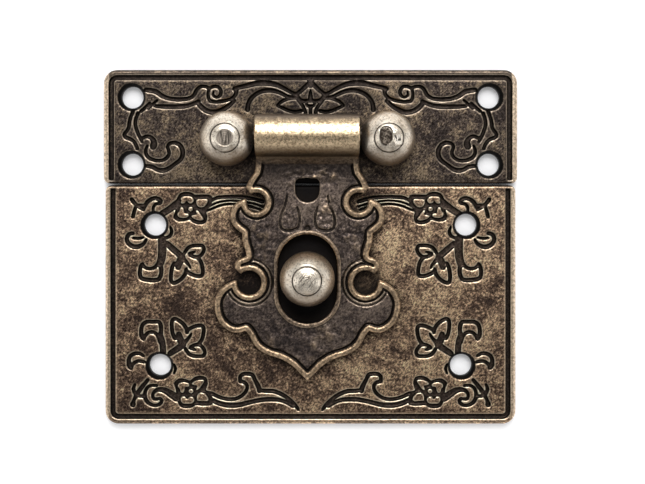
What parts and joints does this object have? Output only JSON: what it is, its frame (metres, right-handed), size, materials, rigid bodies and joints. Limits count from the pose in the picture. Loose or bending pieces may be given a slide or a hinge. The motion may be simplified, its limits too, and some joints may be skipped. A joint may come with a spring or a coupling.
{
  "type": "decorative catch",
  "caption": "Antique bronze box catch with carved lid and box plates and a scalloped hasp flap that drops over a ball stud.",
  "frame": {"origin": "middle of the back of both plates together, on the surface that the catch lies or is screwed on", "axes": "+X across the plates to the right as seen from the front, +Y from the box plate up to the lid plate, +Z out of the front"},
  "size_m": [0.05, 0.0428, 0.0075],
  "materials": {
    "bronze_plate": "antique bronze, worn on the high places and dark in the carving",
    "bronze_flap": "antique bronze, dark in the panel and rubbed on the bead and barrel",
    "pale_metal": "turned and rubbed bright"
  },
  "bodies": {
    "plates": {"upper_plate": "bronze_plate", "lower_plate": "bronze_plate", "hinge_post_left": "pale_metal", "hinge_post_right": "pale_metal", "hinge_pin": "bronze_flap", "catch_stud": "pale_metal"},
    "flap": {"hasp_flap": "bronze_flap"}
  },
  "joints": [
    {"name": "flap_swing", "type": "hinge", "parent": "plates", "child": "flap", "pos_m": [-0.00035, 0.0134, 0.00425], "axis": [-1, 0, 0], "range_deg": [0, 180]}
  ]
}
